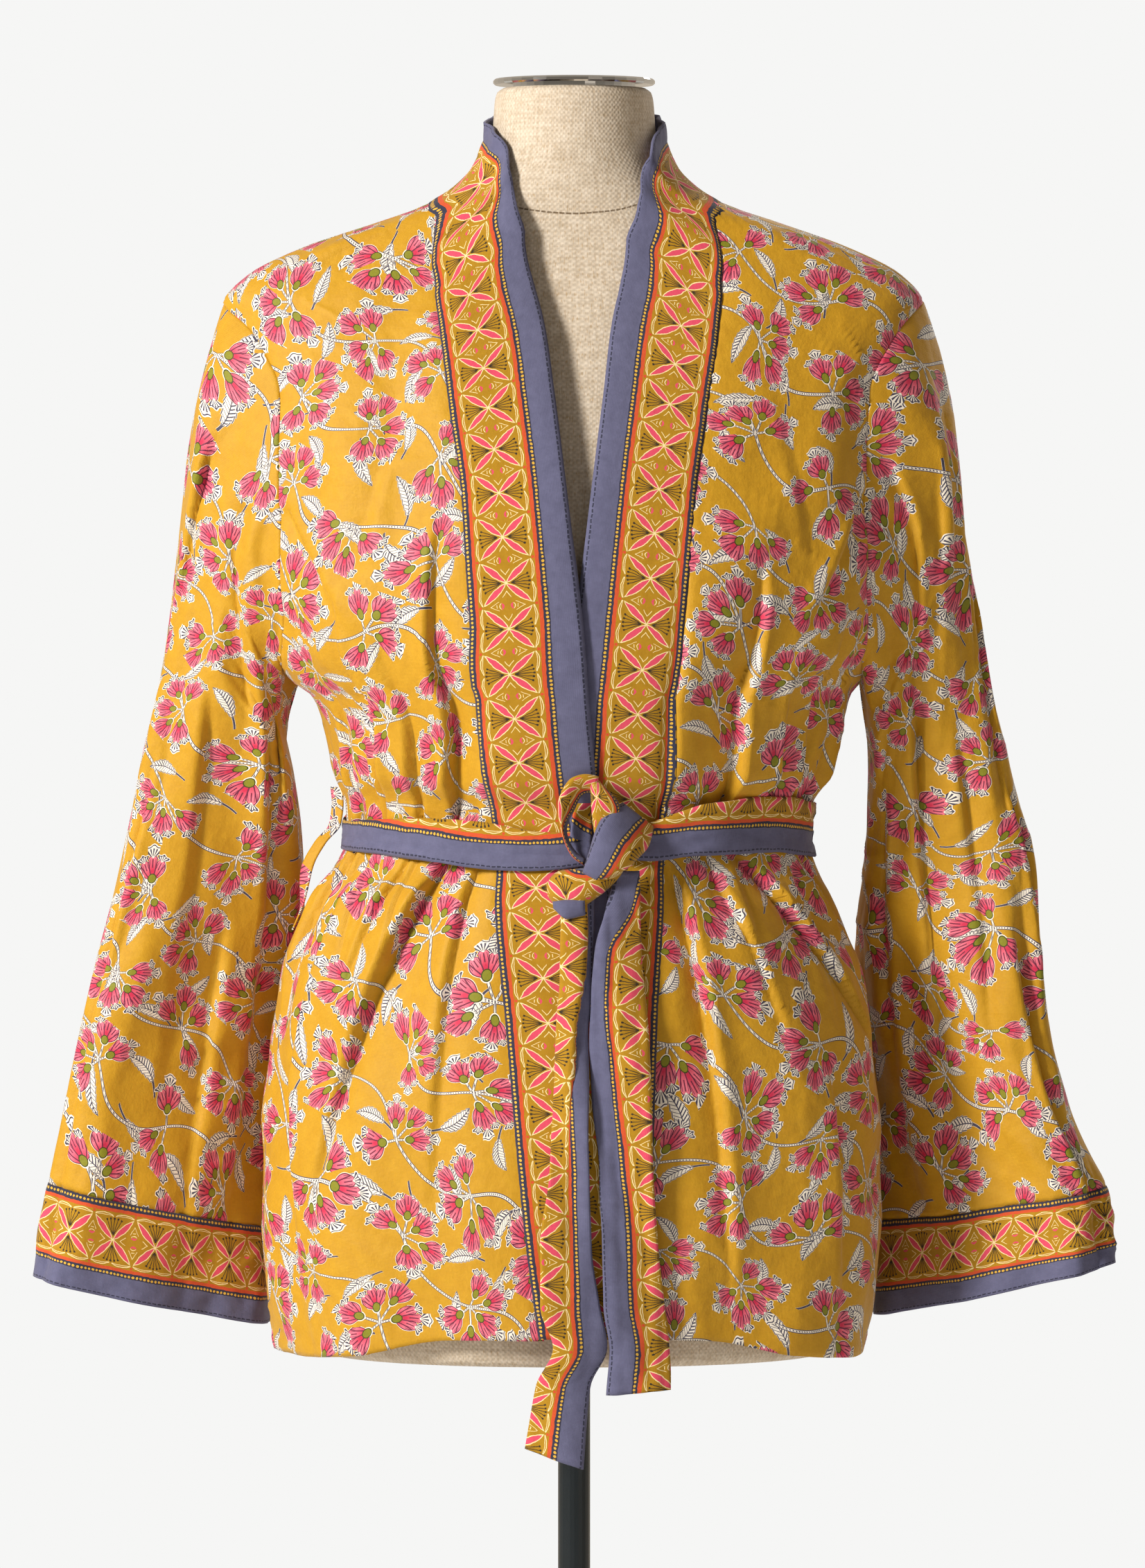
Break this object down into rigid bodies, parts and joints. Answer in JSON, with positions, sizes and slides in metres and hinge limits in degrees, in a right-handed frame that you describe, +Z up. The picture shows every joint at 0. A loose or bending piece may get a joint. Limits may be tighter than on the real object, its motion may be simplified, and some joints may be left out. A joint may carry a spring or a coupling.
{
  "type": "kimono jacket on a limbless dress form and stand",
  "caption": "Printed cotton kimono jacket with wide sleeves, border bands and a tied belt, worn on a limbless dress form on a pole stand.",
  "frame": {"origin": "On the floor under the middle of the stand's base, on the pole's axis", "axes": "+Z up, the front of the jacket faces -Y, +X to the wearer's left"},
  "size_m": [0.6678, 0.3, 1.4998],
  "materials": {
    "printed_cotton": "mustard woven cotton with a printed blossom pattern",
    "border_cotton": "woven cotton with a printed border strip and a slate edge",
    "slate_cotton": "plain slate woven cotton",
    "linen": "natural linen stretched over the form",
    "chrome": "polished",
    "black_steel": "satin black lacquer"
  },
  "bodies": {
    "root": {"back_panel": "printed_cotton", "front_right": "printed_cotton", "front_left": "printed_cotton", "sleeve_right": "printed_cotton", "sleeve_left": "printed_cotton", "belt_carrier": "printed_cotton", "cuff_right": "border_cotton", "cuff_left": "border_cotton", "collar_band_right": "border_cotton", "collar_band_left": "border_cotton", "belt_right": "border_cotton", "belt_left": "border_cotton", "belt_back": "border_cotton", "belt_tail_right": "border_cotton", "belt_tail_left": "border_cotton", "knot_loop": "border_cotton", "knot_over": "slate_cotton", "knot_bar": "border_cotton", "form_torso": "linen", "neck_cap": "chrome", "pole": "black_steel", "base_disc": "black_steel"}
  },
  "joints": []
}
